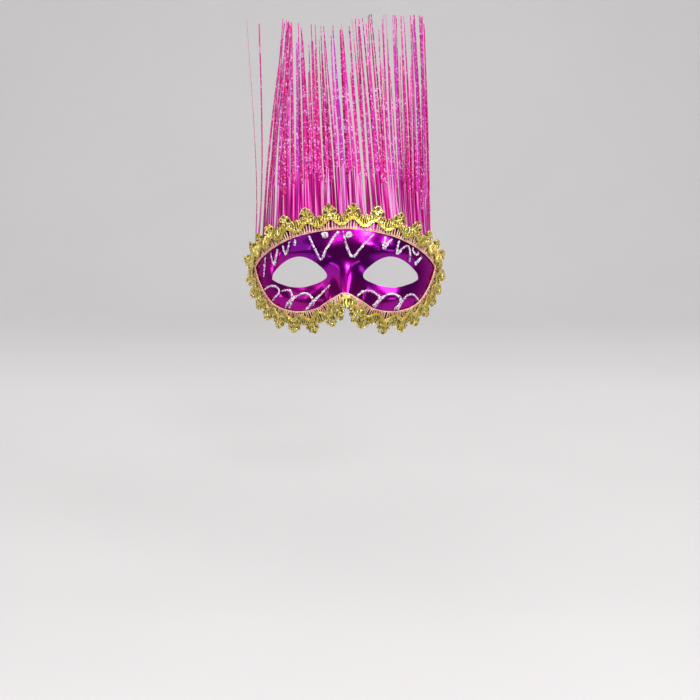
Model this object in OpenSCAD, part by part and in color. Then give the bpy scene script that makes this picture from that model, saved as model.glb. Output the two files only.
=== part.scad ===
// Half-face masquerade mask: moulded metallised shell, looped braid round
// the rim, glitter-glue lines and an upright tinsel fringe behind the brow.
// Millimetres. +Z up, the mask's front faces -Y, +X is the viewer's right.
// Origin: inner face of the nose bridge, level with the corners of the eyes.

/* [Shell] */
// Sheet thickness
shell_t = 1.0; // [0.6:0.1:2]
// Half width at the rim
half_w = 87.5; // [70:0.5:100]
// Height of the rim over the middle of the brow
brow_z = 49.5; // [40:0.5:60]
// How far the sides wrap back round the face
side_wrap = 54; // [30:1:70]
// How late the sides turn back
side_power = 3.2; // [1.8:0.1:4]
// Depth of the flat of the face in front of the origin plane
face_y = 4.9; // [2:0.1:10]
// How far the forehead leans back at the rim
brow_lean = 6; // [0:0.5:15]
// How far the cheeks lean back at the rim
cheek_lean = 5; // [0:0.5:15]
// Height of the nose where it leaves the mask
nose_h = 17; // [8:0.5:25]
// Half width of the nose
nose_w = 18.5; // [14:0.5:24]
// Depth of the eye sockets
socket_h = 5.5; // [0:0.5:10]
// Height of the brow ridges
ridge_h = 2.5; // [0:0.5:6]
// Fullness of the cheeks
cheek_h = 2.5; // [0:0.5:6]

/* [Elastic holes] */
// Hole radius
strap_r = 1.5; // [1:0.1:3]
// Distance in from the widest point of the rim
strap_in = 2.6; // [2:0.1:10]
// Height
strap_z = 2; // [-10:0.5:15]

/* [Braid] */
// Gap between pieces that lie on one another
seat = 0.3; // [0.1:0.05:0.5]
// Number of picot fans round the rim
fans = 32; // [12:1:40]
// Place of the first fan past the middle of the brow, as a share of their spacing
fan_phase = 0.35; // [0:0.05:1]
// How much closer the fans are bunched at the temples than over the brow
bunch = 0.62; // [0:0.02:0.8]
// Tilt of the fans towards the viewer, degrees
fan_tilt = 12; // [0:1:25]
// Inner edge of the ladder heading, measured in from the rim
head_in = 7.4; // [4:0.1:10]
// Outer edge of the ladder heading, past the rim
head_out = 0.8; // [0:0.1:3]
// Thickness of the heading
head_t = 0.8; // [0.4:0.1:1.5]
// Radius of the pale edge cord
edge_r = 0.65; // [0.5:0.1:1.5]
// Outer edge of the gold band, past the rim
band_out = 4.2; // [2:0.1:6]
// Thickness of the gold band
band_t = 1.2; // [0.6:0.1:2]
// Mid line of the wavy cord, measured out from the rim
wave_mid = -1.8; // [-4:0.1:2]
// Swing of the wavy cord each way
wave_amp = 3; // [0:0.1:4]
// Radius of the wavy cord
wave_r = 0.7; // [0.4:0.1:1.2]
// Loop radius of a side picot
picot_r = 2.3; // [1.5:0.1:3]
// Loop radius of the top picot
picot_top_r = 2.4; // [1.5:0.1:3]
// Thread radius of the picots
picot_thread = 0.75; // [0.4:0.05:1]

/* [Glitter] */
// Half width of a glue line
glue_r = 1.1; // [0.4:0.05:1.4]
// Height of a glue line over the shell
glue_h = 0.9; // [0.3:0.1:1.5]
// Radius of the dots
dot_r = 2.5; // [0.8:0.1:3]
// Height of the dots
dot_h = 1.6; // [0.5:0.1:2.5]

/* [Fringe] */
// Height of the tallest tips above the origin
fringe_top = 232; // [150:1:300]
// How far the shortest strands stop below the tallest
fringe_ragged = 55; // [0:1:80]
// Strands in the front row
front_n = 40; // [10:1:60]
// Strands in the middle row
middle_n = 39; // [10:1:60]
// Strands in the back row
back_n = 38; // [10:1:60]
// Width of a front strand at its root
strand_w = 2.5; // [0.8:0.1:3]
// Thickness of a strand
strand_t = 0.45; // [0.2:0.05:1]
// How much a strand narrows to its tip
strand_taper = 0.5; // [0.2:0.05:1]
// Lean of the whole fringe to the back at its tips
fringe_back = 12; // [0:1:60]
// Share of the sideways drift that gathers the tips into a fan
fringe_gather = 1; // [0:0.1:1.5]
// Width of the tape that the strands are stitched to
tape_w = 8; // [4:0.5:15]
// Thickness of that tape
tape_t = 0.8; // [0.4:0.1:1.5]

/* [Hidden] */

// The outlines are drawn for this half width and brow height, and fitted to the mask's own
DRAWN = [87.5, 49.5];
function fit(p) = [p[0] * half_w / DRAWN[0], p[1] * brow_z / DRAWN[1]];
// Rim of the shell, from the top of the brow down to the notch over the nose: sideways, height
RIM = [for (p = [
    [0, 49.5], [15.3, 48.4], [31.1, 46], [47.1, 41.3], [60.4, 34.6], [71.4, 26.6], [81.4, 16.1], [87.5, 3.5],
    [84.8, -11], [81.1, -19.9], [76, -28], [67, -36.6], [54.9, -41.1], [41.4, -42], [28.1, -39.8], [17.3, -35.3],
    [8.6, -28.2], [0, -22]
]) fit(p)];
// Almond eye opening, anticlockwise from its inner corner seen from the front
EYE = [for (p = [
    [16, -0.9], [27.2, -8.4], [42, -11.9], [56, -10.8], [68.8, -5.4], [55.4, 10.2], [40.6, 16.3], [26.1, 10.5]
]) fit(p)];
EYE_MID = fit([41, 2]);
rim_cols = 42;
mid_cols = 16;
rings = 8;
dense = 8;
grad_step = 0.05;
cols = rim_cols + mid_cols;
// Heights where the forehead and the cheeks start to lean back, and how fast
forehead_z = 18;
forehead_run = 31;
cheek_z = -14;
cheek_run = 28;
nose_foot = -22;
nose_curve = 1.4;
// Middles and half sizes of the brow ridges, the cheeks and the sockets
RIDGE_MID = fit([36, 26]);
RIDGE = fit([30, 8]);
ridge_droop = 0.003;
CHEEK_MID = fit([45, -22]);
CHEEK = fit([22, 9]);
SOCKET = fit([38, 25]);
// Rim stations stand closer together over this half width at the nose
crowd = 2.2;
crowd_w = 14;
// Where the fans are bunched, and over what stretch, as shares of half the rim
bunch_at = 0.56;
bunch_w = 0.24;
strap_x = half_w - strap_in;

COLOR_SHELL = [0.36, 0.02, 0.36];
COLOR_PEACH = [0.80, 0.55, 0.42];
COLOR_GOLD = [0.62, 0.45, 0.12];
COLOR_GLITTER = [0.80, 0.76, 0.82];
COLOR_TINSEL = [0.70, 0.05, 0.36];

function unit(v) = v / norm(v);
// A raised cosine: 1 in the middle, 0 from q = 1 outwards
function hump(q) = abs(q) < 1 ? pow(cos(90 * q), 2) : 0;
function hill(a, w) = exp(-pow(a / w, 2));

// Depth of the mask's front face at a point seen from the front
function nose_rise(z) = nose_h * pow(min(max((forehead_z - z) / (forehead_z - nose_foot), 0), 1), nose_curve);
function depth(x, z) =
    let (a = abs(x))
    face_y + side_wrap * pow(a / half_w, side_power)
    + brow_lean * pow(max(z - forehead_z, 0) / forehead_run, 2)
    + cheek_lean * pow(max(cheek_z - z, 0) / cheek_run, 2)
    - nose_rise(z) * hump(a / nose_w)
    - ridge_h * hill(z - RIDGE_MID[1] + ridge_droop * x * x, RIDGE[1]) * hill(a - RIDGE_MID[0], RIDGE[0])
    - cheek_h * hill(a - CHEEK_MID[0], CHEEK[0]) * hill(z - CHEEK_MID[1], CHEEK[1])
    + socket_h * hump(norm([(a - EYE_MID[0]) / SOCKET[0], (z - EYE_MID[1]) / SOCKET[1]]));
function skin(p) = [p[0], depth(p[0], p[1]), p[1]];
function slope(p, d) =
    (depth(p[0] + d[0], p[1] + d[1]) - depth(p[0] - d[0], p[1] - d[1])) / (2 * grad_step);
function face_n(p) = unit([slope(p, [grad_step, 0]), -1, slope(p, [0, grad_step])]);
// A point at height h over the front face; a negative h is behind it
function over(p, h) = skin(p) + face_n(p) * h;

// Smooth curve through points
function curve(a, b, c, d, t) =
    0.5 * (2 * b + (c - a) * t + (2 * a - 5 * b + 4 * c - d) * t * t + (3 * b - a - 3 * c + d) * t * t * t);
function flip(p) = [-p[0], p[1]];
function smooth(e, n) = [
    for (i = [1 : len(e) - 3])
        for (k = [0 : n - 1])
            curve(e[i - 1], e[i], e[i + 1], e[i + 2], k / n),
    e[len(e) - 2]
];
function sum_to(steps) = [for (i = 0, s = 0; i <= len(steps); s = s + (i < len(steps) ? steps[i] : 0), i = i + 1) s];
function scaled(v) = [for (a = v) a / v[len(v) - 1]];
function bunching(share) = 1 + bunch * hill(share - bunch_at, bunch_w);

rim_line = smooth([flip(RIM[1]), each RIM, flip(RIM[len(RIM) - 2])], dense);
rim_steps = [for (i = [1 : len(rim_line) - 1]) norm(skin(rim_line[i]) - skin(rim_line[i - 1]))];
rim_run = sum_to(rim_steps);
rim_arc = scaled(rim_run);
rim_len = 2 * rim_run[len(rim_run) - 1];
// Stations stand closer together where the rim crosses the nose
rim_even = scaled(sum_to([
    for (i = [0 : len(rim_steps) - 1])
        rim_steps[i] * (1 + crowd * hill(rim_line[i][0], crowd_w) * (rim_line[i][1] < 0 ? 1 : 0))
]));
// Fans stand closer together round the temples
rim_bunched = scaled(sum_to([
    for (i = [0 : len(rim_steps) - 1])
        rim_steps[i] * bunching(rim_arc[i])
]));
RIM_X = [for (i = [0 : len(rim_line) - 1]) [rim_arc[i], rim_line[i][0]]];
RIM_Z = [for (i = [0 : len(rim_line) - 1]) [rim_arc[i], rim_line[i][1]]];
EVEN_ARC = [for (i = [0 : len(rim_line) - 1]) [rim_even[i], rim_arc[i]]];
BUNCHED_ARC = [for (i = [0 : len(rim_line) - 1]) [rim_bunched[i], rim_arc[i]]];

// The whole rim, clockwise from the top, as a share of its length
function rim_at(u) =
    let (v = u - floor(u), s = v < 0.5 ? 2 * v : 2 - 2 * v)
    [(v < 0.5 ? 1 : -1) * lookup(s, RIM_X), lookup(s, RIM_Z)];
function warp(u, table) = u < 0.5 ? lookup(2 * u, table) / 2 : 1 - lookup(2 - 2 * u, table) / 2;
function even(u) = warp(u, EVEN_ARC);
function bunched(u) = warp(u, BUNCHED_ARC);
// Rim frame: point, way along, way out over the edge, way off the face
function rim_frame(u) =
    let (
        p = rim_at(u),
        t = unit(skin(rim_at(u + 0.002)) - skin(rim_at(u - 0.002))),
        n = face_n(p)
    )
    [skin(p), t, unit(cross(n, t)), n];
// A place d out from the rim (negative is in, over the face) and h off the face
function place(f, d, h) =
    let (q = f[0] + f[2] * d)
    d < 0 ? over([q[0], q[2]], h) : q + f[3] * h;

// Skins between rows of points: closed both ways, or with flat ends
function belt(i, n, m) = [
    for (k = [0 : m - 1])
        let (a = i * m + k, b = i * m + (k + 1) % m, c = ((i + 1) % n) * m + k, d = ((i + 1) % n) * m + (k + 1) % m)
        each [[a, b, d], [a, d, c]]
];
module ring_skin(rows) {
    n = len(rows);
    m = len(rows[0]);
    polyhedron([for (r = rows) each r], [for (i = [0 : n - 1]) each belt(i, n, m)], convexity = 10);
}
module rod_skin(rows) {
    n = len(rows);
    m = len(rows[0]);
    caps = [
        for (k = [1 : m - 2])
            each [[0, k + 1, k], [(n - 1) * m, (n - 1) * m + k, (n - 1) * m + k + 1]]
    ];
    polyhedron([for (r = rows) each r], [for (i = [0 : n - 2]) each belt(i, n, m), each caps], convexity = 10);
}

// ---- Shell ----
eye_line = smooth([EYE[len(EYE) - 1], each EYE, EYE[0], EYE[1]], dense);
EYE_R = [
    for (p = eye_line)
        for (turn = [-360, 0, 360])
            [atan2(p[1] - EYE_MID[1], p[0] - EYE_MID[0]) + turn, norm(p - EYE_MID)]
];
function on_eye(p) =
    let (a = atan2(p[1] - EYE_MID[1], p[0] - EYE_MID[0]))
    EYE_MID + lookup(a, EYE_R) * [cos(a), sin(a)];
outer = [
    for (c = [0 : rim_cols]) rim_at(even(c / rim_cols / 2)),
    for (c = [1 : mid_cols - 1]) [0, RIM[len(RIM) - 1][1] + (RIM[0][1] - RIM[len(RIM) - 1][1]) * c / mid_cols]
];
function cell(c, j) = on_eye(outer[c]) + (outer[c] - on_eye(outer[c])) * j / rings;
grid = [for (c = [0 : cols - 1]) for (j = [0 : rings]) cell(c, j)];
per_face = cols * (rings + 1);
// Both halves share the points of the centre line, and those are the right half's
function shared(c, j) = j == rings && (c == 0 || c >= rim_cols);
function vid(side, back, c, j) =
    let (w = c % cols)
    ((shared(w, j) ? 0 : side) * 2 + back) * per_face + w * (rings + 1) + j;
function facing(side, q) = side == 0 ? q : [q[3], q[2], q[1], q[0]];
function two(q) = [[q[0], q[1], q[2]], [q[0], q[2], q[3]]];

module shell_sheet() {
    points = [
        for (side = [0, 1])
            for (back = [0, 1])
                for (p = grid)
                    over(side == 0 ? p : flip(p), -back * shell_t)
    ];
    faces = [
        for (side = [0, 1])
            for (c = [0 : cols - 1])
                each [
                    for (j = [0 : rings - 1])
                        each [
                            each two(facing(side, [vid(side, 0, c, j), vid(side, 0, c, j + 1), vid(side, 0, c + 1, j + 1), vid(side, 0, c + 1, j)])),
                            each two(facing(side, [vid(side, 1, c + 1, j), vid(side, 1, c + 1, j + 1), vid(side, 1, c, j + 1), vid(side, 1, c, j)]))
                        ],
                    each two(facing(side, [vid(side, 0, c, 0), vid(side, 0, c + 1, 0), vid(side, 1, c + 1, 0), vid(side, 1, c, 0)])),
                    each c < rim_cols
                        ? two(facing(side, [vid(side, 0, c + 1, rings), vid(side, 0, c, rings), vid(side, 1, c, rings), vid(side, 1, c + 1, rings)]))
                        : []
                ]
    ];
    polyhedron(points, faces, convexity = 10);
}

module strap_hole(side) {
    p = [side * strap_x, strap_z];
    n = face_n(p);
    translate(skin(p))
        rotate([0, acos(n[2]), atan2(n[1], n[0])])
            cylinder(h = 4 * shell_t, r = strap_r, center = true);
}

module shell() {
    color(COLOR_SHELL)
        difference() {
            shell_sheet();
            strap_hole(1);
            strap_hole(-1);
        }
}

// ---- Braid ----
band_n = fans * 7;
head_n = 96;
heading_h = seat;
band_h = heading_h + head_t + seat;
wave_h = band_h + band_t + seat + wave_r;
edge_d = -head_in - seat - edge_r;
// The wave swings out under each fan and in between two fans; v counts fans, as a share of them all
function swing(v) = wave_mid + wave_amp * cos(360 * (fans * v - fan_phase));

function round_row(f, d, h, r, m) = [
    for (k = [0 : m - 1])
        place(f, d + r * cos(360 * k / m), h - r * sin(360 * k / m))
];

module braid_edge_cord() {
    rows = [for (i = [0 : head_n - 1]) round_row(rim_frame(even(i / head_n)), edge_d, seat + edge_r, edge_r, 6)];
    color(COLOR_PEACH)
        ring_skin(rows);
}

module braid_heading() {
    mid = (head_out - head_in) / 2;
    rows = [
        for (i = [0 : head_n - 1])
            let (f = rim_frame(even(i / head_n)))
            [
                place(f, -head_in, heading_h),
                place(f, -head_in, heading_h + head_t),
                place(f, mid, heading_h + head_t),
                place(f, head_out, heading_h + head_t),
                place(f, head_out, heading_h),
                place(f, mid, heading_h)
            ]
    ];
    color(COLOR_PEACH)
        ring_skin(rows);
}

module braid_band() {
    rows = [
        for (i = [0 : band_n - 1])
            let (v = i / band_n, f = rim_frame(bunched(v)), inner = swing(v) - wave_r)
            [
                place(f, inner, band_h),
                place(f, inner, band_h + band_t),
                place(f, (inner + band_out) / 2, band_h + band_t),
                place(f, band_out, band_h + band_t),
                place(f, band_out, band_h),
                place(f, (inner + band_out) / 2, band_h)
            ]
    ];
    color(COLOR_GOLD)
        ring_skin(rows);
}

module braid_wave_cord() {
    rows = [
        for (i = [0 : band_n - 1])
            let (v = i / band_n)
            round_row(rim_frame(bunched(v)), swing(v), wave_h, wave_r, 5)
    ];
    color(COLOR_GOLD)
        ring_skin(rows);
}

// Three thread loops to a fan: one on top, one at each side
fan_side_d = band_out + seat + picot_r + picot_thread;
fan_side_t = 4.3;
fan_top_d = fan_side_d + 4.6;

module loop_ring(r) {
    rotate_extrude($fn = 20)
        translate([r, 0])
            circle(r = picot_thread, $fn = 8);
}

// Bunched fans are smaller, but not by as much as they are closer
shrink = 0.75;

module picot_fan(v) {
    u = bunched(v);
    f = rim_frame(u);
    at = f[0] + f[2] * band_out + f[3] * (band_h + band_t / 2);
    size = pow(bunching(u < 0.5 ? 2 * u : 2 - 2 * u), -shrink);
    multmatrix([
        [f[1][0], f[2][0], f[3][0], at[0]],
        [f[1][1], f[2][1], f[3][1], at[1]],
        [f[1][2], f[2][2], f[3][2], at[2]],
        [0, 0, 0, 1]
    ])
        rotate([fan_tilt, 0, 0])
            scale([size, size, size])
                mirror([1, 0, 0]) {
                    translate([0, fan_top_d - band_out, 0])
                        loop_ring(picot_top_r);
                    for (side = [-1, 1])
                        translate([side * fan_side_t, fan_side_d - band_out, 0])
                            loop_ring(picot_r);
                }
}

module braid_picots() {
    color(COLOR_GOLD)
        for (i = [0 : fans - 1])
            picot_fan((i + fan_phase) / fans);
}

// ---- Glitter-glue lines on the face ----
// Strokes of the zigzag under the brow, drawn freehand: sideways, height, thickness
ZIGZAG_LEFT = [
    [[-73, 13.5, 0.9], [-74, 5, 1], [-75, -6, 1]],
    [[-68, 18.5, 0.9], [-66.5, 11.5, 1.1], [-64, 6.5, 1.5], [-63, 13, 1.1], [-61, 22, 0.9]],
    [[-56.5, 26, 1], [-55.5, 22, 1.1], [-53.5, 17, 1.5], [-51.5, 22.5, 1.1], [-49.5, 30, 0.9]],
    [[-44.5, 31.5, 1.3], [-44.5, 29, 1.5], [-45, 25.5, 1.7]],
    [[-32.5, 35.5, 0.9], [-28.5, 27, 1.1], [-24.5, 19.5, 1.1], [-21.5, 13.5, 1.4], [-18, 21.5, 1.2], [-12.5, 30.5, 1.3], [-5.5, 39.5, 1.5]]
];
ZIGZAG_RIGHT = [
    [[-2, 40, 0.9], [0.5, 30, 1], [4, 20, 1.2], [7, 16, 1.6], [11, 21, 1.1], [18.5, 29.5, 1], [26, 37, 0.9]],
    [[36.5, 34.5, 1], [35, 29, 1.1], [33.5, 23, 1.9], [37.5, 27, 1.5], [42.5, 32.5, 1]],
    [[49, 30.5, 0.9], [47, 24.5, 1.1], [46.5, 18.5, 1.9], [50.5, 22, 1.2], [55.5, 25.5, 1], [58.5, 22.5, 1], [58.5, 10.5, 0.9]],
    [[61, 23.5, 0.9], [62, 19, 1], [66, 15.5, 1.2], [66.5, 19.5, 1]],
    [[70.5, 14, 1], [66.5, 10.5, 1.7], [63, 7.5, 2.1]]
];
// Curls over the cheeks
CURLS_LEFT = [
    [[-74.5, -18, 1], [-73, -16, 1], [-67, -12.5, 1], [-61.5, -14, 1], [-59.5, -17.5, 1.3], [-63.5, -22, 1], [-67, -27, 0.9]],
    [[-58, -16.5, 1.1], [-54, -15, 1], [-50, -15, 1], [-48, -18.5, 1], [-48, -23.5, 1.1], [-50, -29.5, 1], [-51, -32.5, 0.9]],
    [[-54.5, -32, 0.9], [-52.5, -27.5, 1], [-47.5, -22.5, 1.2], [-42.5, -19, 1], [-37, -16.5, 1], [-32, -18, 1.1], [-29, -22, 1], [-29, -28, 0.9]],
    [[-35.5, -31.5, 1.1], [-29, -24.5, 1.3], [-22.5, -18, 1], [-13, -8.5, 1]]
];
CURLS_RIGHT = [
    [[10.5, -18.5, 1], [14, -15.5, 1.2], [19.5, -14, 1], [25, -15, 1.1], [29, -18, 1], [31.5, -21.5, 1.6], [28.5, -25.5, 1.4], [25.5, -28.5, 1.2]],
    [[27, -29, 1.1], [30, -24, 1.2], [35, -19.5, 1.1], [41.5, -17.5, 1], [47.5, -19, 1], [50.5, -22.5, 1.6], [49.5, -27, 1.2], [44, -33, 1]],
    [[48, -33, 0.9], [50, -28, 1], [52.5, -23.5, 1.3], [56.5, -20, 1], [61.5, -19.5, 1.1], [65, -23, 1], [67.5, -26.5, 1]]
];
DOTS = [[-18, 36], [3.5, 36.5]];
glue_step = 3.4;

// Points about one step apart along a smooth stroke
function stroke(drawn) =
    let (
        pts = [for (p = drawn) [each fit(p), p[2]]],
        e = [2 * pts[0] - pts[1], each pts, 2 * pts[len(pts) - 1] - pts[len(pts) - 2]],
        line = smooth(e, dense),
        run = sum_to([for (i = [1 : len(line) - 1]) norm(skin(line[i]) - skin(line[i - 1]))]),
        n = max(2, round(run[len(run) - 1] / glue_step)),
        xs = [for (i = [0 : len(line) - 1]) [run[i], line[i][0]]],
        zs = [for (i = [0 : len(line) - 1]) [run[i], line[i][1]]],
        ws = [for (i = [0 : len(line) - 1]) [run[i], line[i][2]]]
    )
    [for (i = [0 : n]) let (s = run[len(run) - 1] * i / n) [lookup(s, xs), lookup(s, zs), lookup(s, ws)]];

module glue_line(pts) {
    line = stroke(pts);
    n = len(line);
    rows = [
        for (i = [0 : n - 1])
            let (
                a = skin(line[max(i - 1, 0)]),
                b = skin(line[min(i + 1, n - 1)]),
                nn = face_n(line[i]),
                side = unit(cross(nn, b - a)) * glue_r * line[i][2],
                up = nn * glue_h * line[i][2],
                c = over(line[i], seat)
            )
            [c + side, c - side, c - side / 2 + up, c + side / 2 + up]
    ];
    rod_skin(rows);
}

module glitter_zigzag_left() {
    color(COLOR_GLITTER)
        for (s = ZIGZAG_LEFT)
            glue_line(s);
}

module glitter_zigzag_right() {
    color(COLOR_GLITTER)
        for (s = ZIGZAG_RIGHT)
            glue_line(s);
}

module glitter_curls_left() {
    color(COLOR_GLITTER)
        for (s = CURLS_LEFT)
            glue_line(s);
}

module glitter_curls_right() {
    color(COLOR_GLITTER)
        for (s = CURLS_RIGHT)
            glue_line(s);
}

module glitter_brow_dots() {
    color(COLOR_GLITTER)
        for (d = DOTS) {
            p = fit(d);
            n = face_n(p);
            translate(over(p, seat))
                rotate([0, acos(n[2]), atan2(n[1], n[0])])
                    rotate_extrude($fn = 20)
                        polygon([[0, 0], [dot_r, 0], [dot_r * 0.9, dot_h * 0.5], [dot_r * 0.55, dot_h * 0.9], [0, dot_h]]);
        }
}

// ---- Tinsel fringe ----
// The fringe runs over the top of the rim, from the left temple to the right
fringe_from = -0.194;
fringe_to = 0.2225;
// The tape stops short of the elastic's holes
tape_from = -0.2155;
tape_to = 0.216;
// Sideways drift of the tips: share of the fringe from the left, drift
DRIFT = [[0, 25], [0.1, 14], [0.2, 4], [0.32, -6], [0.5, -14], [0.66, -16], [0.82, -11], [1, -8]];
// How far the tips stop below the tallest: share of the fringe from the left, drop
FALL = [[0, 3], [0.2, 9], [0.35, 11], [0.45, 13], [0.55, 7], [0.65, 2], [0.8, 3], [0.92, 0], [1, 0]];
// Few strands are much shorter than the rest
rareness = 3;
tape_top = 1;
tape_h = shell_t + seat;
row_gap = 1.2;
root_d = -2;
// Strands stand more upright than the shell, so their roots keep this much more off the tape
upright = 0.25;
front_h = -tape_h - tape_t - seat - upright - strand_t / 2;

module fringe_tape() {
    n = 36;
    rows = [
        for (i = [0 : n])
            let (f = rim_frame(tape_from + (tape_to - tape_from) * i / n))
            [
                place(f, -tape_top - tape_w, -tape_h),
                place(f, -tape_top - tape_w / 2, -tape_h),
                place(f, -tape_top, -tape_h),
                place(f, -tape_top, -tape_h - tape_t),
                place(f, -tape_top - tape_w / 2, -tape_h - tape_t),
                place(f, -tape_top - tape_w, -tape_h - tape_t)
            ]
    ];
    color(COLOR_TINSEL)
        rod_skin(rows);
}

// Root of a strand at a share s of the fringe, in a row at height h behind the face
function root(s, h) = place(rim_frame(fringe_from + (fringe_to - fringe_from) * s), root_d, h);
function drift(s) = fringe_gather * lookup(s, DRIFT);
// Its tip at height z: every strand of a row leans the same way, so rows never cross
function tip(s, stray, h, z) =
    let (k = (z - root(s, h)[2]) / (fringe_top - root(s, h)[2]), r = root(s + stray * k, h))
    [r[0] + drift(s) * k, r[1] + fringe_back * k, z];

// A flat tapered strand from point a up to point b, its width along the rim
module strand(a, b, along, w) {
    way = unit([along[0], along[1], 0]) * w / 2;
    thick = unit([-along[1], along[0], 0]) * strand_t / 2;
    ring = [way + thick, way - thick, -way - thick, thick - way];
    rod_skin([[for (q = ring) a + q], [for (q = ring) b + q * strand_taper]]);
}

module strand_row(n, row, w, seed) {
    h = front_h - row * row_gap;
    shift = rands(-0.3, 0.3, n, seed);
    drop = rands(0, 1, n, seed + 1);
    for (i = [0 : n - 1]) {
        s = (i + 0.5 + row / 3) / (n + 1);
        way = rim_frame(fringe_from + (fringe_to - fringe_from) * s)[1];
        strand(root(s, h), tip(s, shift[i] / n, h, fringe_top - lookup(s, FALL) - fringe_ragged * pow(drop[i], rareness)), way, w);
    }
}

module fringe_front_strands() {
    color(COLOR_TINSEL)
        strand_row(front_n, 0, strand_w, 11);
}

module fringe_middle_strands() {
    color(COLOR_TINSEL)
        strand_row(middle_n, 1, strand_w * 0.8, 23);
}

module fringe_back_strands() {
    color(COLOR_TINSEL)
        strand_row(back_n, 2, strand_w * 0.8, 37);
}

// Two strands that stand apart at the left temple: share of the rim, sideways drift, tip height
STRAYS = [[-0.2, 1, 224], [-0.2112, -8.5, 227]];
stray_d = -1.5;

module fringe_stray_strands() {
    color(COLOR_TINSEL)
        for (q = STRAYS) {
            f = rim_frame(q[0]);
            a = place(f, stray_d, front_h);
            strand(a, [a[0] + q[1], a[1] + fringe_back, q[2]], f[1], strand_w * 0.8);
        }
}

shell();
braid_edge_cord();
braid_heading();
braid_band();
braid_wave_cord();
braid_picots();
glitter_zigzag_left();
glitter_zigzag_right();
glitter_curls_left();
glitter_curls_right();
glitter_brow_dots();
fringe_tape();
fringe_front_strands();
fringe_middle_strands();
fringe_back_strands();
fringe_stray_strands();
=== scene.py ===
# %% [markdown]
# A half-face masquerade mask. A glossy moulded shell carries a gold looped braid
# round its rim, lines of glitter glue on its face, and a tall fringe of foil tinsel
# that stands up behind the brow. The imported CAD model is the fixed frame: every
# piece below takes its place and its size from it.

# %% Load the frame
import math
import random
import bpy
import bmesh
import numpy as np
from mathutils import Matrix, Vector
from mathutils.bvhtree import BVHTree


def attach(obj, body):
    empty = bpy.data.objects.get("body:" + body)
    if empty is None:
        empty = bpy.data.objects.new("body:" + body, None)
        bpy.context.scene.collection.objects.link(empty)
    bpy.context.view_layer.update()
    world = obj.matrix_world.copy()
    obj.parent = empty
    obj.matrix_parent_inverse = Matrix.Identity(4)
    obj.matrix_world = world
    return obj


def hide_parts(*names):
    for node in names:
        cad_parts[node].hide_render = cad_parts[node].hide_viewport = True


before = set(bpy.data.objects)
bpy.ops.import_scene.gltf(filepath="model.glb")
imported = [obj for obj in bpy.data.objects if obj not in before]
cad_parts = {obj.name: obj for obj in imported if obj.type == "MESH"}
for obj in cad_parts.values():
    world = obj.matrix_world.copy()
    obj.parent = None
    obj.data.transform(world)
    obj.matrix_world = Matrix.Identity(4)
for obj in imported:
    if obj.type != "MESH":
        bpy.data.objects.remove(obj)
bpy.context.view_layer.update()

MM = 0.001
scene = bpy.context.scene

# %% [markdown]
# The camera comes first, so that every later step can be looked at through it. It
# stands about a metre in front of the mask, a little above it. A lens shift could bring
# the tall fringe into the frame too, but a plain tilt works from every side.

# %% Camera
LOOKING_DOWN = 11


def placed(name, data):
    """A new object in the scene."""
    obj = bpy.data.objects.new(name, data)
    scene.collection.objects.link(obj)
    return obj


camera_data = bpy.data.cameras.new("camera")
camera_data.lens = 61.71
camera_data.sensor_width = 36
camera = placed("camera", camera_data)
camera.location = (0.0045, -1.0708, 0.1404)
camera.rotation_euler = (math.radians(90 - LOOKING_DOWN), 0, 0)
scene.camera = camera
scene.view_settings.view_transform = "Standard"
print("camera:", round(camera.location.length, 2), "m away, looking down", LOOKING_DOWN, "degrees")

# %% [markdown]
# Small helpers. Operators act on whatever is selected, so each step first selects one
# object alone. The CAD parts must stay as they are, so a piece that starts from one is
# always a copy of it.

# %% Selecting, copying and shaping
def pick(*objs):
    """Selects these objects alone, the first one active."""
    if bpy.context.object and bpy.context.object.mode != "OBJECT":
        bpy.ops.object.mode_set(mode="OBJECT")
    bpy.ops.object.select_all(action="DESELECT")
    for o in objs:
        o.select_set(True)
    bpy.context.view_layer.objects.active = objs[0]


def edit_all(piece):
    """Opens a piece for editing, with all of it selected."""
    pick(piece)
    bpy.ops.object.mode_set(mode="EDIT")
    bpy.ops.mesh.select_all(action="SELECT")


def apply_modifiers(obj):
    pick(obj)
    for m in list(obj.modifiers):
        bpy.ops.object.modifier_apply(modifier=m.name)


def copy_of(node, name):
    """A free copy of a CAD node, with its loose triangles merged."""
    piece = placed(name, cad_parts[node].data.copy())
    edit_all(piece)
    bpy.ops.mesh.remove_doubles(threshold=1e-6)
    bpy.ops.object.mode_set(mode="OBJECT")
    bpy.ops.mesh.customdata_custom_splitnormals_clear()
    return piece


def faces_as_quads(piece, limit):
    """Joins pairs of triangles that are within limit degrees of flat and square."""
    limit = math.radians(limit)
    edit_all(piece)
    bpy.ops.mesh.tris_convert_to_quads(face_threshold=limit, shape_threshold=limit)
    bpy.ops.object.mode_set(mode="OBJECT")


def subdivide(piece, levels):
    sub = piece.modifiers.new("smooth", "SUBSURF")
    sub.levels = sub.render_levels = levels
    apply_modifiers(piece)


def turn_faces_out(piece):
    edit_all(piece)
    bpy.ops.mesh.normals_make_consistent(inside=False)
    bpy.ops.object.mode_set(mode="OBJECT")


# %% Reading and moving points, and finishing a piece
SMOOTH_BELOW = math.radians(40)


def points_of(piece):
    co = np.zeros(len(piece.data.vertices) * 3)
    piece.data.vertices.foreach_get("co", co)
    return co.reshape(-1, 3)


def move_points(piece, co):
    piece.data.vertices.foreach_set("co", np.asarray(co, float).ravel())
    piece.data.update()


def settle(piece, material, slot, *nodes):
    """Shades the piece smooth, gives it its finish, hangs it on the root body and hides the CAD nodes that
    it stands for.
    """
    pick(piece)
    bpy.ops.object.shade_smooth_by_angle(angle=SMOOTH_BELOW)
    if material is not None:
        piece.data.materials.clear()
        piece.data.materials.append(material)
    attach(piece, "root")
    if nodes:
        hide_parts(*nodes)
    print(piece.name, len(piece.data.polygons), "faces")


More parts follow.
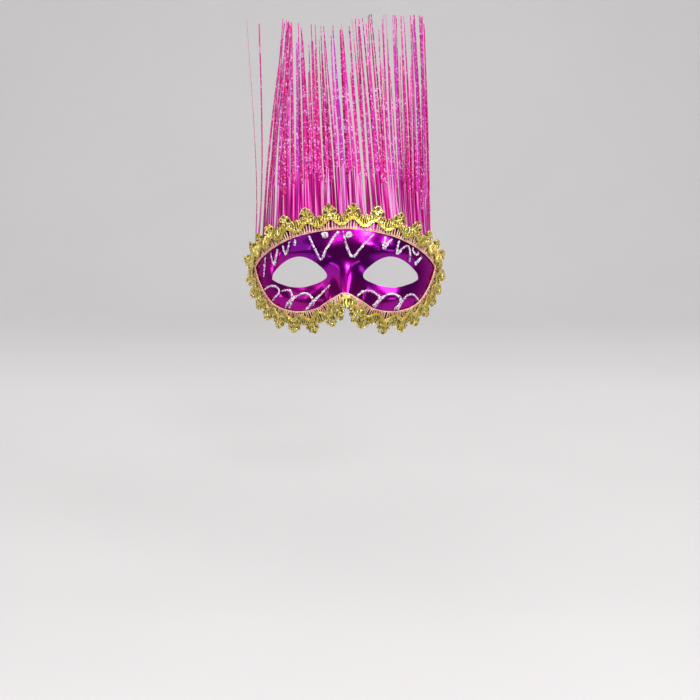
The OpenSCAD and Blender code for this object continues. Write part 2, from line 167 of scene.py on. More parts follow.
# %% [markdown]
# Materials. Everything on this mask glitters in its own way: the holographic dots of
# the foil, the flakes in the glue, the sparkle of metallic thread. Each could have a
# pattern of its own, but all of them are small cells that throw the light their own
# way, so one shared group makes such grains and each finish sets their size and share.

# %% New materials, and nodes with their inputs filled
def new_material(name):
    mat = bpy.data.materials.new(name)
    mat.use_nodes = True
    tree = mat.node_tree
    return mat, tree, tree.nodes["Principled BSDF"]


def feed(tree, node, inputs):
    """Gives each of these inputs a fixed value, or a link from another node's output."""
    for name, value in inputs.items():
        socket = node.inputs[name]
        if isinstance(value, bpy.types.NodeSocket):
            tree.links.new(value, socket)
        else:
            socket.default_value = (*value, 1) if socket.type == "RGBA" else value
    return node.outputs


def added(tree, kind, inputs):
    """The outputs of a new node with these inputs."""
    return feed(tree, tree.nodes.new(kind), inputs)


# %% Colours, sums, patterns and bumps
def grey(level):
    return (level,) * 3


def ramp(tree, value, stops):
    """Colours for a value, from stops that are each a place and a colour."""
    r = tree.nodes.new("ShaderNodeValToRGB")
    while len(r.color_ramp.elements) < len(stops):
        r.color_ramp.elements.new(0.5)
    for e, (at, colour) in zip(r.color_ramp.elements, stops):
        e.position = at
        e.color = (*colour, 1)
    tree.links.new(value, r.inputs["Fac"])
    return r.outputs["Color"]


def mixed(tree, share, a, b):
    """Colour a, turned into b by share."""
    m = tree.nodes.new("ShaderNodeMix")
    m.data_type = "RGBA"
    return feed(tree, m, {"Factor": share, "A": a, "B": b})["Result"]


def sums(tree, operation, a, b):
    """One step of arithmetic."""
    m = tree.nodes.new("ShaderNodeMath")
    m.operation = operation
    return feed(tree, m, {0: a, 1: b})[0]


def object_place(tree):
    return added(tree, "ShaderNodeTexCoord", {})["Object"]


def attribute(tree, name):
    a = tree.nodes.new("ShaderNodeAttribute")
    a.attribute_name = name
    return a.outputs["Fac"]


def noise(tree, vector, scale, detail):
    inputs = {"Vector": vector, "Scale": scale, "Detail": detail}
    return added(tree, "ShaderNodeTexNoise", inputs)["Fac"]


def bump(tree, shader, height, distance, strength):
    inputs = {"Height": height, "Distance": distance, "Strength": strength}
    feed(tree, shader, {"Normal": added(tree, "ShaderNodeBump", inputs)["Normal"]})


# %% Shared group: random grains
def grain_group():
    """Gives each cell a random Value, and a Mask that is 1 in the given Share of the cells."""
    group = bpy.data.node_groups.new("random_grains", "ShaderNodeTree")
    group.interface.new_socket("Vector", in_out="INPUT", socket_type="NodeSocketVector")
    for name, way in (("Scale", "INPUT"), ("Share", "INPUT"), ("Value", "OUTPUT"), ("Mask", "OUTPUT")):
        group.interface.new_socket(name, in_out=way, socket_type="NodeSocketFloat")
    given = added(group, "NodeGroupInput", {})
    places = {"Vector": given["Vector"], "Scale": given["Scale"]}
    cells = added(group, "ShaderNodeTexVoronoi", places)
    split = added(group, "ShaderNodeSeparateColor", {"Color": cells["Color"]})
    few = sums(group, "LESS_THAN", split["Red"], given["Share"])
    added(group, "NodeGroupOutput", {"Value": split["Green"], "Mask": few})
    return group


GRAINS = grain_group()
print("shared group:", GRAINS.name)


def grains(tree, vector, scale, share):
    g = tree.nodes.new("ShaderNodeGroup")
    g.node_tree = GRAINS
    return feed(tree, g, {"Vector": vector, "Scale": scale, "Share": share})


# %% [markdown]
# The shell is plastic sheet with a thin coat of metal under purple lacquer. A glossy
# purple paint would look like enamel; the real sheet is a coloured mirror, nearly
# black where it sees the room and bright where it sees a lamp. So it is a metal, whose
# edge tint keeps the colour where the sheet turns away. The lacquer drifts between
# violet and magenta, and the sheet is never quite flat, so a low, wide bump bends the
# reflections. The back is the bare sheet.

# %% Metallised foil
def shell_foil():
    mat, tree, shader = new_material("purple_metallised_foil")
    where = object_place(tree)
    colour = ramp(tree, noise(tree, where, 15, 2), [
        (0.36, (0.22, 0.001, 0.29)),
        (0.5, (0.33, 0.002, 0.28)),
        (0.64, (0.40, 0.003, 0.27)),
    ])
    rough = ramp(tree, noise(tree, where, 60, 3), [(0.3, grey(0.15)), (0.8, grey(0.24))])
    feed(tree, shader, {"Base Color": colour, "Metallic": 1.0, "Roughness": rough})
    feed(tree, shader, {"Specular Tint": (0.70, 0.20, 0.80), "Coat Weight": 0.15, "Coat Roughness": 0.1})
    bump(tree, shader, noise(tree, where, 45, 2), 0.0012, 0.25)
    return mat


FOIL = shell_foil()
print("front finish:", FOIL.name)


# %% Bare sheet
def bare_sheet():
    mat, tree, shader = new_material("bare_moulded_sheet")
    where = object_place(tree)
    colour = ramp(tree, noise(tree, where, 25, 3), [(0.3, (0.50, 0.44, 0.52)), (0.7, (0.60, 0.53, 0.62))])
    rough = ramp(tree, noise(tree, where, 300, 3), [(0.3, grey(0.34)), (0.8, grey(0.5))])
    feed(tree, shader, {"Base Color": colour, "Roughness": rough})
    bump(tree, shader, noise(tree, where, 700, 2), 0.0002, 0.3)
    return mat


SHEET = bare_sheet()
print("back finish:", SHEET.name)

# %% [markdown]
# Gimp thread is a cotton core wrapped in a flat metallic yarn, so its gloss breaks up
# into short glints, and deep between the loops it goes dark. The threads are too fine
# for light alone to draw those depths at this distance, so that shade is painted: each
# thread piece carries its height off the face in an attribute, and the colour follows
# that height, painted dark deep down and bright on top, with painted glints on top.

# %% Gold thread
def metallic_thread(name, smooth):
    """Gold gimp; smooth is 0 for crimped loops and 1 for the couched cord, which is glossier."""
    mat, tree, shader = new_material(name)
    where = object_place(tree)
    fine = grains(tree, where, 850, 0.34 - 0.12 * smooth)
    height = attribute(tree, "height")
    # Painted shade: the colour goes darker the deeper the thread lies in the braid
    body = ramp(tree, height, [
        (0.0, (0.03, 0.016, 0.0)),
        (0.48, (0.10, 0.058, 0.002)),
        (0.72, (0.40, 0.27, 0.014)),
        (0.94, (0.88, 0.68, 0.12)),
    ])
    worn = sums(tree, "MULTIPLY", noise(tree, where, 130, 2), 0.5)
    dull = mixed(tree, worn, body, (0.36, 0.20, 0.012))
    # Painted highlight: pale glints on a share of the grains, strongest on top
    painted_glint = sums(tree, "MULTIPLY", fine["Mask"], height)
    colour = mixed(tree, painted_glint, dull, (1.0, 0.93, 0.44))
    rough = ramp(tree, fine["Value"], [(0.0, grey(0.16)), (1.0, grey(0.44 - 0.1 * smooth))])
    feed(tree, shader, {"Base Color": colour, "Metallic": 0.68, "Roughness": rough})
    bump(tree, shader, fine["Value"], 0.0005, 0.9 - 0.5 * smooth)
    return mat


GOLD = metallic_thread("gold_gimp_thread", 0)
BRIGHT_GOLD = metallic_thread("gold_couched_cord", 1)
print("gold finishes:", GOLD.name, BRIGHT_GOLD.name)


# %% Satin thread
def satin_thread():
    mat, tree, shader = new_material("pale_satin_thread")
    where = object_place(tree)
    fine = grains(tree, where, 2200, 0.2)
    # Painted shade: dark deep down in the braid, pale on top, by the height attribute
    body = ramp(tree, attribute(tree, "height"), [
        (0.0, (0.28, 0.04, 0.06)),
        (0.45, (0.82, 0.31, 0.27)),
        (1.0, (0.98, 0.54, 0.38)),
    ])
    patches = ramp(tree, noise(tree, where, 170, 2), [(0.46, grey(0.0)), (0.62, grey(0.75))])
    pale = mixed(tree, patches, body, (1.0, 0.80, 0.46))
    flecks = sums(tree, "MULTIPLY", fine["Mask"], 0.4)
    colour = mixed(tree, flecks, pale, (1.0, 0.86, 0.78))
    feed(tree, shader, {"Base Color": colour, "Roughness": 0.5, "Sheen Weight": 0.25})
    bump(tree, shader, fine["Value"], 0.0002, 0.5)
    return mat


SATIN = satin_thread()
print("pale finish:", SATIN.name)


# %% Woven tape
def tape_cloth():
    mat, tree, shader = new_material("woven_tape")
    where = object_place(tree)
    bands = tree.nodes.new("ShaderNodeTexWave")
    bands.bands_direction = "DIAGONAL"
    weave = feed(tree, bands, {"Vector": where, "Scale": 420})["Fac"]
    colour = ramp(tree, weave, [(0.2, (0.30, 0.015, 0.14)), (0.8, (0.52, 0.04, 0.27))])
    feed(tree, shader, {"Base Color": colour, "Roughness": 0.85})
    bump(tree, shader, weave, 0.0002, 0.6)
    return mat


TAPE = tape_cloth()
print("tape finish:", TAPE.name)

# %% [markdown]
# Glitter glue dries to a clear, lumpy bead packed with silver flakes. The flakes could
# be modelled one by one, but they are too small to make out, so grains under a clear
# coat stand for them. Holographic foil is embossed in tiny squares, each of which
# throws the light its own way. The squares have to follow each narrow strand, so they
# are counted along its own UV map.

# %% Glitter glue
def glitter_glue():
    mat, tree, shader = new_material("silver_glitter_glue")
    where = object_place(tree)
    flakes = grains(tree, where, 700, 0.4)
    colour = ramp(tree, flakes["Value"], [
        (0.0, (0.26, 0.11, 0.29)),
        (0.36, (0.64, 0.46, 0.64)),
        (0.66, (0.95, 0.82, 0.92)),
        (1.0, (1.0, 1.0, 1.0)),
    ])
    metal = sums(tree, "MULTIPLY", flakes["Mask"], 0.22)
    feed(tree, shader, {"Base Color": colour, "Metallic": metal, "Roughness": 0.22, "Coat Weight": 0.5})
    bump(tree, shader, flakes["Value"], 0.0007, 1.0)
    return mat


GLITTER = glitter_glue()
print("glue finish:", GLITTER.name)

# %% Tinsel foil
SMOOTH_FOOT = 30.0
FOOT_VARIES = 18.0


def tinsel_foil():
    """The UV map and the two lengths above are counted in embossed squares."""
    mat, tree, shader = new_material("holographic_tinsel")
    uv = tree.nodes.new("ShaderNodeUVMap")
    uv.uv_map = "strand"
    spread = added(tree, "ShaderNodeSeparateXYZ", {"Vector": uv.outputs["UV"]})
    # Each strand's tone, read here, is its own colour with painted shade added: lower, and so darker, in
    # the back rows and at the left temple
    tint_and_shade = attribute(tree, "tint_and_shade")
    dots = grains(tree, uv.outputs["UV"], 1.0, 0.4)
    base = ramp(tree, tint_and_shade, [
        (0.0, (0.34, 0.0, 0.08)),
        (0.25, (0.74, 0.004, 0.19)),
        (0.5, (0.96, 0.01, 0.33)),
        (0.85, (0.98, 0.03, 0.52)),
        (1.0, (0.62, 0.03, 0.60)),
    ])
    hue = ramp(tree, dots["Value"], [
        (0.0, (0.16, 0.002, 0.14)),
        (0.3, (0.80, 0.02, 0.36)),
        (0.65, (0.95, 0.16, 0.74)),
        (1.0, (1.0, 0.70, 0.95)),
    ])
    # The embossing starts some way above the braid, at its own height on each strand;
    # below that the foil is smooth
    start = sums(tree, "ADD", sums(tree, "MULTIPLY", tint_and_shade, FOOT_VARIES), SMOOTH_FOOT)
    high = sums(tree, "GREATER_THAN", spread["Y"], start)
    amount = sums(tree, "MULTIPLY", dots["Mask"], high)
    # Painted highlights and painted shade draw fine pale and dark lines up the smooth foil: a noise,
    # stretched lengthwise
    stretched = sums(tree, "MULTIPLY", spread["Y"], 0.025)
    lengthwise = added(tree, "ShaderNodeCombineXYZ", {"X": spread["X"], "Y": stretched})
    painted_streaks = ramp(tree, noise(tree, lengthwise["Vector"], 0.6, 1), [
        (0.38, (0.13, 0.0, 0.055)),
        (0.46, (0.66, 0.005, 0.30)),
        (0.52, (1.0, 0.06, 0.60)),
        (0.60, (1.0, 0.55, 0.92)),
    ])
    # The smooth foot is mostly these painted streaks, over a quarter of the strand's own colour
    smooth = mixed(tree, 0.25, painted_streaks, base)
    foil = mixed(tree, high, smooth, base)
    rough = ramp(tree, high, [(0.0, grey(0.16)), (1.0, grey(0.30))])
    feed(tree, shader, {"Base Color": mixed(tree, amount, foil, hue), "Metallic": 0.3, "Roughness": rough})
    feed(tree, shader, {"Specular IOR Level": 0.25})
    bump(tree, shader, sums(tree, "MULTIPLY", dots["Value"], high), 0.0008, 0.8)
    return mat


TINSEL = tinsel_foil()
print("fringe finish:", TINSEL.name)

# %% [markdown]
# The shell is one sheet, formed over a mould and trimmed. It could be modelled again
# from a grid, but the CAD shell already has that shape, as a net of flat facets, and
# everything else sits on it. So a copy of it is merged, turned back into quads and
# subdivided, with its cut edges creased, so that it mirrors smoothly.

# %% A copy of the shell with creased edges
CUT_EDGE = math.radians(50)
shell = copy_of("shell", "mask_shell")
faces_as_quads(shell, 60)
bpy.ops.object.mode_set(mode="EDIT")
bpy.ops.mesh.select_all(action="DESELECT")
bpy.ops.mesh.select_mode(type="EDGE")
bpy.ops.mesh.edges_select_sharp(sharpness=CUT_EDGE)
bpy.ops.transform.edge_crease(value=0.85)
bpy.ops.object.mode_set(mode="OBJECT")
print("shell copy:", len(shell.data.polygons), "faces")


# %% The front edge of its rim
def length_round(loop):
    return sum((a - b).length for a, b in zip(loop, loop[1:] + loop[:1]))


def longest_front_loop(piece):
    """Points of the rim's front edge, in order round the mask."""
    bm = bmesh.new()
    bm.from_mesh(piece.data)
    sharp = [e for e in bm.edges if len(e.link_faces) == 2 and e.calc_face_angle() > CUT_EDGE]
    beside = {}
    for e in sharp:
        for a, b in ((e.verts[0], e.verts[1]), (e.verts[1], e.verts[0])):
            beside.setdefault(a, []).append(b)
    loops, seen = [], set()
    for start in beside:
        if start in seen:
            continue
        loop, at, last = [], start, None
        while at not in seen:
            seen.add(at)
            loop.append(at.co.copy())
            ahead = [v for v in beside[at] if v is not last and v not in seen]
            if not ahead:
                break
            last, at = at, ahead[0]
        loops.append(loop)
    bm.free()
    # The two longest loops are the rim's front and back edges; the others go round the eyes
    loops.sort(key=length_round, reverse=True)
    front = min(loops[:2], key=lambda loop: sum(p.y for p in loop) / len(loop))
    return np.array([tuple(p) for p in front])


rim_loop = longest_front_loop(shell)
print("rim points:", len(rim_loop))

# %% The smooth shell, foil in front and bare behind
subdivide(shell, 2)
shell.data.materials.clear()
shell.data.materials.append(FOIL)
shell.data.materials.append(SHEET)
for face in shell.data.polygons:
    face.material_index = 0 if face.normal.y < -0.02 else 1
settle(shell, None, "metallised_shell", "shell")

# %% [markdown]
# The braid is made flat, as a machine makes it, and then glued round the rim. A Curve
# modifier could bend it, but it keeps a strip flat across, and this one has to lie on
# a face that is curved both ways. So the flat drawing has three numbers: how far along
# the rim, how far out over the edge, and how high off the face. Inside the edge, rays
# find the shell under each place.

# %% The rim as a path in equal steps
STATIONS = 832
FINER = 16


def smooth_loop(points, count):
    """A closed curve through the points, in equal steps from the middle of the brow rightwards."""
    top = max(range(len(points)), key=lambda i: points[i][2] - 100 * abs(points[i][0]))
    points = np.roll(points, -top, axis=0)
    if points[1][0] < 0:
        points = np.roll(points[::-1], 1, axis=0)
    p0, p1, p2, p3 = (np.roll(points, s, axis=0) for s in (1, 0, -1, -2))
    squared = 2 * p0 - 5 * p1 + 4 * p2 - p3
    cubed = 3 * p1 - p0 - 3 * p2 + p3
    fine = []
    for t in np.arange(0, 1, 1 / FINER):
        fine.append(0.5 * (2 * p1 + (p2 - p0) * t + squared * t ** 2 + cubed * t ** 3))
    fine = np.stack(fine, 1).reshape(-1, 3)
    fine = np.vstack([fine, fine[:1]])
    run = np.concatenate([[0], np.cumsum(np.linalg.norm(np.diff(fine, axis=0), axis=1))])
    even = np.linspace(0, run[-1], count, endpoint=False)
    return np.stack([np.interp(even, run, fine[:, k]) for k in range(3)], 1), run[-1]


def unit(v):
    return v / np.linalg.norm(v, axis=-1, keepdims=True)


rim, RIM_LENGTH = smooth_loop(rim_loop, STATIONS)
way = unit(np.roll(rim, -1, axis=0) - np.roll(rim, 1, axis=0))
print("rim length, mm:", round(RIM_LENGTH / MM, 1))

# %% The face inside the rim, found by rays
IN_ROWS = 15
SEEK_FROM = 6 * MM
corners = [v.co for v in shell.data.vertices]
front_faces = [tuple(p.vertices) for p in shell.data.polygons if p.material_index == 0]
face_tree = BVHTree.FromPolygons(corners, front_faces)


def face_under(points, toward):
    """The shell's front face under each point, looking along toward, and its normal."""
    hits, normals = points.copy(), -toward
    for i, (p, d) in enumerate(zip(points, toward)):
        hit, normal, _, _ = face_tree.ray_cast(Vector(p - d * SEEK_FROM), Vector(d))
        if hit is None:
            hit, normal, _, _ = face_tree.find_nearest(Vector(p))
        hits[i] = hit
        normals[i] = normal if normal.y < 0 else -normal
    return hits, normals


ahead = np.tile([0.0, 1.0, 0.0], (STATIONS, 1))
_, off_face = face_under(rim - unit(np.cross(-ahead, way)) * 1.5 * MM, ahead)
off_face = unit(sum(np.roll(off_face, s, axis=0) for s in range(-4, 5)))
out = unit(np.cross(off_face, way))
base = np.zeros((STATIONS, IN_ROWS, 3))
lift = np.zeros((STATIONS, IN_ROWS, 3))
base[:, -1], lift[:, -1] = rim, off_face
for row in range(IN_ROWS - 1):
    inward = (IN_ROWS - 1 - row) * MM
    base[:, row], lift[:, row] = face_under(rim - out * inward, -off_face)
    lift[:, row] = unit(sum(np.roll(lift[:, row], s, axis=0) for s in range(-3, 4)))
print("face found in", IN_ROWS - 1, "rows inside the rim")


# %% A way to lay things round the rim
def lay_on_rim(share, out_by, high):
    """Places at a share of the way round the rim, so far out over its edge, so high off the face."""
    u = (share % 1) * STATIONS
    i = np.floor(u).astype(int) % STATIONS
    j, f = (i + 1) % STATIONS, (u % 1)[:, None]
    row = np.clip(out_by / MM + IN_ROWS - 1, 0, IN_ROWS - 1.001)
    r, g = np.floor(row).astype(int), (row % 1)[:, None]

    def at(grid):
        here = grid[i, r] * (1 - g) + grid[i, r + 1] * g
        ahead = grid[j, r] * (1 - g) + grid[j, r + 1] * g
        return here * (1 - f) + ahead * f

    inside = at(base) + unit(at(lift)) * high[:, None]
    edge, outward, off = (grid[i] * (1 - f) + grid[j] * f for grid in (rim, out, off_face))
    return np.where(out_by[:, None] < 0, inside, edge + outward * out_by[:, None] + off * high[:, None])


# %% [markdown]
# The braid is bunched at the temples, so its fans stand closer there than over the
# brow. Even steps would put them in the wrong places. The CAD's wavy cord tells where
# they are: it swings out under each fan, and it has the same number of rows from each
# fan to the next. So the place of each row round the rim says which part of which fan
# stands there.

# %% Fans of the CAD braid
def loose_parts(node):
    """The corner points of each separate solid of a node."""
    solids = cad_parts[node]
    spots, same = np.unique(np.round(points_of(solids), 6), axis=0, return_inverse=True)
    group = np.arange(len(spots))
    tris = same.ravel()[np.array([tuple(p.vertices) for p in solids.data.polygons])]
    while True:
        least = group[tris].min(axis=1)
        wider = group.copy()
        np.minimum.at(wider, tris.ravel(), np.repeat(least, 3))
        if (wider == group).all():
            return [spots[group == g] for g in np.unique(group)]
        group = wider


FANS = len(loose_parts("braid_picots")) // 3
ROW_CORNERS = 5
SEAM = 0.002  # turns the start back a little, so that the first row isn't cut in two
cord_points = loose_parts("braid_wave_cord")[0]
nearest = np.array([np.argmin(np.linalg.norm(rim - p, axis=1)) for p in cord_points])
past = ((cord_points - rim[nearest]) * way[nearest]).sum(axis=1) / RIM_LENGTH
swung = ((cord_points - rim[nearest]) * out[nearest]).sum(axis=1) / MM
share = (nearest / STATIONS + past + SEAM) % 1
order = np.argsort(share)
row_share = share[order].reshape(-1, ROW_CORNERS).mean(axis=1) - SEAM
row_swing = swung[order].reshape(-1, ROW_CORNERS).mean(axis=1)
row_at = np.arange(len(row_share)) / len(row_share)
beat = (row_swing * np.exp(2j * math.pi * FANS * row_at)).mean()
PHASE = float(np.angle(beat) / (2 * math.pi) % 1)
WAVE_MID, WAVE_SWING = float(row_swing.mean()), 2 * abs(beat)
print(FANS, "fans, the first", round(PHASE, 3), "of a space past the middle")
print("the cord swings", round(WAVE_SWING, 2), "mm each way")

# %% A smooth way from fan numbers to places round the rim
HARMONICS = 12
FINE_STEPS = 4096
SHRINK = 0.65  # below 1, a fan shrinks less than the space that it is squeezed into


def waves_of(v):
    waves = [np.ones_like(v)]
    for j in range(1, HARMONICS):
        waves += [np.sin(2 * math.pi * j * v), np.cos(2 * math.pi * j * v)]
    return np.stack(waves, 1)


drift, *_ = np.linalg.lstsq(waves_of(row_at), row_share - row_at, rcond=None)
fine_v = np.linspace(0, 1, FINE_STEPS + 1)
fine_share = fine_v + waves_of(fine_v) @ drift
fine_pitch = np.gradient(fine_share, fine_v) * RIM_LENGTH / FANS / MM
PITCH = float(fine_pitch.max())
fan_size = (fine_pitch / PITCH) ** SHRINK


def round_rim(fans):
    """The share of the rim at a number of fans past the first."""
    v = (fans + PHASE) / FANS
    return np.interp(v % 1, fine_v, fine_share) + np.floor(v)


print("fans stand", round(float(fine_pitch.min()), 1), "to", round(PITCH, 1), "mm apart")

# %% [markdown]
# Each thread could be a tube extruded ring by ring; a curve with a round bevel, turned
# into a mesh, gives the same with less work. A repeat or a few of the braid is drawn
# flat, an Array modifier repeats it to the full length, and the whole strip is laid on
# the rim. Small shifts that don't repeat then hide that it is one pattern.

# %% Places in the braid, and its threads
# Millimetres out over the rim's edge, and high off the face
EDGE_OUT, EDGE_HIGH = -8.35, 0.95
WAVE_HIGH = 3.5
BAND_OUT, BAND_HIGH = 4.2, 2.0


def wave(x):
    """Where the wavy cord runs: out under each fan, in between two fans."""
    return WAVE_MID + WAVE_SWING * math.cos(2 * math.pi * x / PITCH)


def threads(name, lines, radius, closed=False):
    """A mesh of round threads along lines of points, which are in millimetres."""
    curve = bpy.data.curves.new(name, "CURVE")
    curve.dimensions = "3D"
    curve.bevel_depth = radius * MM
    curve.bevel_resolution = 1
    curve.use_fill_caps = True
    for line in lines:
        s = curve.splines.new("POLY")
        s.points.add(len(line) - 1)
        for p, at in zip(s.points, line):
            p.co = (at[0] * MM, at[1] * MM, at[2] * MM, 1)
        s.use_cyclic_u = closed
    pick(placed(name, curve))
    bpy.ops.object.convert(target="MESH")
    return bpy.context.object


def joined(name, *parts):
    pick(*parts)
    bpy.ops.object.join()
    whole = bpy.context.object
    whole.name = whole.data.name = name
    return whole


print("the braid's bands run from", EDGE_OUT, "to", BAND_OUT, "mm over the rim's edge")


# %% Heights and small shifts
def keep_height(piece, high, low, top):
    """Keeps each point's height in the braid, from 0 deep down to 1 on top, for the painted shade of its
    finish.
    """
    level = np.clip((high / MM - low) / (top - low), 0, 1)
    piece.data.attributes.new("height", "FLOAT", "POINT").data.foreach_set("value", level)


RIPPLE = 1.7 * MM
SLANTS = np.array(((1.0, 0.7, 0.9), (-0.6, 1.1, 0.5), (1.7, -0.9, 1.3)))


def uneven(flat, size):
    """Small smooth shifts, so that no two repeats of a hand-fed thread are the same."""
    ripple = np.zeros_like(flat)
    for axis in range(3):
        for k, slant in enumerate(SLANTS):
            ripple[:, axis] += np.sin(flat @ slant / RIPPLE + 2.1 * axis + 1.3 * k)
    return flat + ripple * size * MM / 3


# %% Repeating and laying
BUNCHED_IN = 15  # how far in the cord would lie, in millimetres, if a fan shrank to nothing


def repeat_and_lay(piece, count, pitch, low, top, wobble=0.0, bunched=True, each=1):
    """Repeats a flat piece, itself each repeats long, keeps its heights, and lays it on the rim."""
    array = piece.modifiers.new("repeat", "ARRAY")
    array.use_relative_offset = False
    array.use_constant_offset = True
    array.constant_offset_displace = (pitch * each * MM, 0, 0)
    array.count = count // each
    apply_modifiers(piece)
    flat = points_of(piece)
    keep_height(piece, flat[:, 2], low, top)
    flat = uneven(flat, wobble)
    along = flat[:, 0] / (pitch * MM)
    share = round_rim(along) if bunched else along / count
    if bunched:
        # Where the fans are bunched, the wavy cord swings less and lies further in, and
        # what is beside it follows
        crest = WAVE_MID + WAVE_SWING * np.cos(2 * math.pi * along)
        beside = flat[:, 1] / MM
        beyond = (BAND_OUT - beside) / (BAND_OUT - crest)
        within = (beside - EDGE_OUT) / (crest - EDGE_OUT)
        near = np.clip(np.where(beside > crest, beyond, within), 0, 1)
        bunched_by = 1 - np.interp(share % 1, fine_share, fan_size)
        flat[:, 1] -= (crest - WAVE_MID + BUNCHED_IN) * bunched_by * near * MM
    move_points(piece, lay_on_rim(share, flat[:, 1], flat[:, 2]))
    print(piece.name, "laid in", count // each, "lengths")


# %% [markdown]
# The pale edge cord is two fine strands twisted together. A plain tube with a twisted
# bump would do from the front, but its outline is seen against the purple shell. So
# one turn of both strands is drawn as two helixes and repeated.

# %% Pale edge cord
TURNS = 9 * FANS
TURN_STEPS = 8
STRAND_OFF = 0.24
turn = RIM_LENGTH / MM / TURNS
strands = []
for start in (0, math.pi):
    strand = []
    for k in range(TURN_STEPS + 1):
        a = start + 2 * math.pi * k / TURN_STEPS
        outwards, upwards = STRAND_OFF * math.cos(a), STRAND_OFF * math.sin(a)
        strand.append((turn * k / TURN_STEPS, EDGE_OUT + outwards, EDGE_HIGH + upwards))
    strands.append(strand)
edge_cord = threads("edge_cord", strands, 0.31)
repeat_and_lay(edge_cord, TURNS, turn, 0.0, 1.2, bunched=False)
settle(edge_cord, SATIN, "pale_cord", "braid_edge_cord")

# %% [markdown]
# The ladder heading is a row of pale hairpin loops, long where the wavy cord swings
# out and short where it swings in. A band with holes cut in it would be flat, and here
# the shell shows purple through open gaps between round threads. So each rung is a
# hairpin of thread, and two small rings at its foot tie it to the next.

# %% Pale ladder heading
def hairpin(x, low, high, half, z0, z1, steps=5):
    """A loop that goes out from low to high beside x, round, and back."""
    far = high - half
    parts = [k / steps for k in range(steps + 1)]
    side = [(x - half, low + (far - low) * part, z0 + (z1 - z0) * part) for part in parts]
    corners = (math.pi / 4, math.pi / 2, 3 * math.pi / 4)
    bend = [(x - half * math.cos(t), far + half * math.sin(t), z1) for t in corners]
    back = [(2 * x - a, b, c) for a, b, c in side[::-1]]
    return side + bend + back


rng = random.Random(7)  # one seed for the braid
RUNGS = 4
REPEATS = 4  # fan spaces drawn before the pattern repeats
FOOT_OUT, FOOT_HIGH = EDGE_OUT + 1.3, 1.3
rungs, feet = [], []
for k in range(RUNGS * REPEATS):
    x = PITCH * (k + 0.5) / RUNGS + rng.uniform(-0.45, 0.45)
    half = PITCH / RUNGS / 4 * rng.uniform(0.8, 1.1)
    reach = max(wave(x) + 0.6, EDGE_OUT + 3.4)
    rungs.append(hairpin(x, EDGE_OUT + 0.5, reach, half, 0.95, rng.uniform(1.2, 1.9)))
    for foot in (-0.25, 0.25):
        middle = x + foot * PITCH / RUNGS
        r = rng.uniform(0.6, 1.0)
        ring = np.arange(8) * math.pi / 4
        feet.append([(middle + r * math.cos(t), FOOT_OUT + r * math.sin(t), FOOT_HIGH) for t in ring])
rung_threads = threads("rung", rungs, 0.62)
foot_threads = threads("rung_foot", feet, 0.34, closed=True)
ladder = joined("ladder_heading", rung_threads, foot_threads)
repeat_and_lay(ladder, FANS, PITCH, 0.3, 1.9, 0.3, each=REPEATS)
settle(ladder, SATIN, "pale_cord", "braid_heading")

# %% [markdown]
# The gold wavy cord is three parallel threads, couched down in one curve. Copies of
# one curve set beside each other would pinch where it is steep, so each thread keeps
# its distance square to the curve, and the middle one rides a little higher.

# %% Gold wavy cord
CORD_STEPS = 24
cords = []
for lane in (-1.0, 0, 1.0):
    line = []
    for k in range(CORD_STEPS + 1):
        x = PITCH * k / CORD_STEPS
        slope = (wave(x + 0.05) - wave(x - 0.05)) / 0.1
        size = math.hypot(1, slope)
        high = WAVE_HIGH + (0.2 if lane == 0 else 0)
        line.append((x - lane * slope / size, wave(x) + lane / size, high))
    cords.append(line)
wavy_cord = threads("wavy_cord", cords, 0.48)
repeat_and_lay(wavy_cord, FANS, PITCH, 2.6, 3.9)
settle(wavy_cord, BRIGHT_GOLD, "gold_thread", "braid_wave_cord")

# %% [markdown]
# The gold band is packed with crimped hairpins, one row on top of another that fills
# the gaps, and under both run the warp threads that the loops are woven on. A bump on
# a flat band would lose the dark gaps. The crimp comes from the gimp machine, where
# the metallic wrap makes the thread spring into kinks, so each line is kinked by sines
# whose lengths don't agree.

# %% Gold looped band
def crimped(line, size, lift_by):
    """Kinks a line of points sideways and up, so that it looks sprung."""
    return [
        (x + size * math.sin(2.3 * k), y + size * math.cos(1.9 * k), z + lift_by * math.sin(1.3 * k + x))
        for k, (x, y, z) in enumerate(line)
    ]


LOOPS_PER_FAN = 10
WARPS = 5
WARP_STEPS = 12
loops = []
for k in range(LOOPS_PER_FAN * REPEATS):
    x = PITCH * (k + 0.5) / LOOPS_PER_FAN + rng.uniform(-0.3, 0.3)
    z = BAND_HIGH + (0.65 if k % 2 else -0.55)
    reach = BAND_OUT + 0.2 + 1.2 * rng.random()
    loops.append(crimped(hairpin(x, wave(x) - 0.2, reach, 1.1, z, z + 0.1, 4), 0.34, 0.4))
# The warp threads lie lowest, so the painted shade of the height makes them darkest: besides holding the
# loops, they fill the gaps between the loops with painted shade
warp = []
for lane in range(WARPS):
    line = []
    for k in range(WARP_STEPS * REPEATS + 1):
        x = PITCH * k / WARP_STEPS
        across = (BAND_OUT + 0.4 - wave(x)) * (lane + 0.5) / WARPS
        line.append((x, wave(x) + across, BAND_HIGH - 1.5))
    warp.append(line)
band = joined("looped_band", threads("loops", loops, 0.68), threads("warp", warp, 0.62))
repeat_and_lay(band, FANS, PITCH, 0.8, 3.4, 0.45, each=REPEATS)
settle(band, GOLD, "gold_thread", "braid_band")

# %% [markdown]
# Each fan on the outer edge is a clump of crimped loops in three lobes, two at the
# sides and one on top. The loops of a lobe stand at different tilts, one inside
# another, so that the clump is a tangle and not a flat ring. A pattern for every fan
# would be more than the eye can tell apart, so a few are modelled, and copies of them
# take turns round the rim, some of them mirrored.

